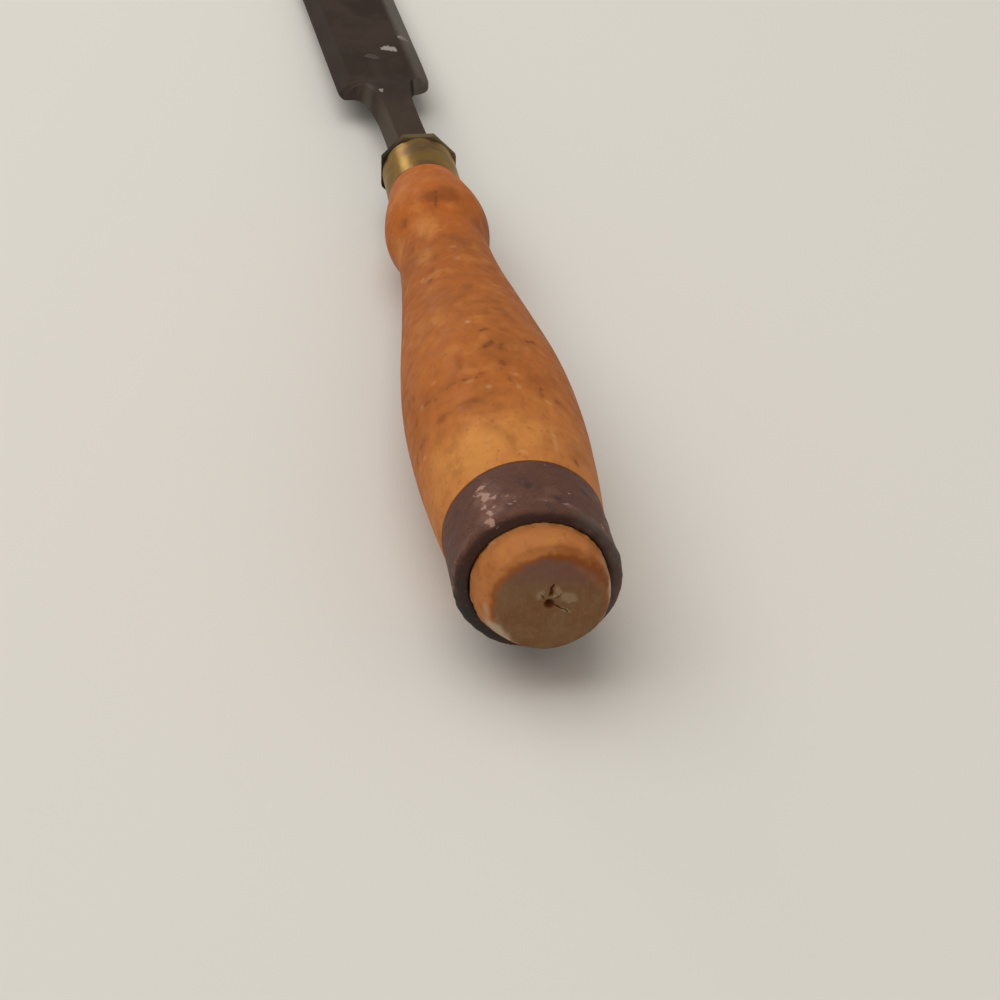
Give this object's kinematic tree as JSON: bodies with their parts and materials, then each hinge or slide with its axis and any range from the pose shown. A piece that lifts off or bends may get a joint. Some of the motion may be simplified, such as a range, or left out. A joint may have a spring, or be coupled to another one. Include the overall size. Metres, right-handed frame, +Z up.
{
  "type": "wood chisel",
  "caption": "Bevel-edge wood chisel with a turned hardwood handle, brass ferrule and steel striking hoop, lying with its blade's flat back down.",
  "frame": {"origin": "on the ground under the middle of the tool as it lies: the centre of its bounding box's bottom", "axes": "+Y runs along the tool from the butt to the cutting edge, +Z is up and out of the blade's bevelled front, +X is to the right seen from the butt"},
  "size_m": [0.031, 0.3088, 0.0293],
  "materials": {
    "blade_steel": "dull brown-grey patina",
    "ferrule_brass": "aged satin",
    "handle_beech": "oiled, worn satin",
    "hoop_steel": "dark browned"
  },
  "bodies": {
    "root": {"blade": "blade_steel", "ferrule": "ferrule_brass", "handle": "handle_beech", "hoop": "hoop_steel"}
  },
  "joints": []
}
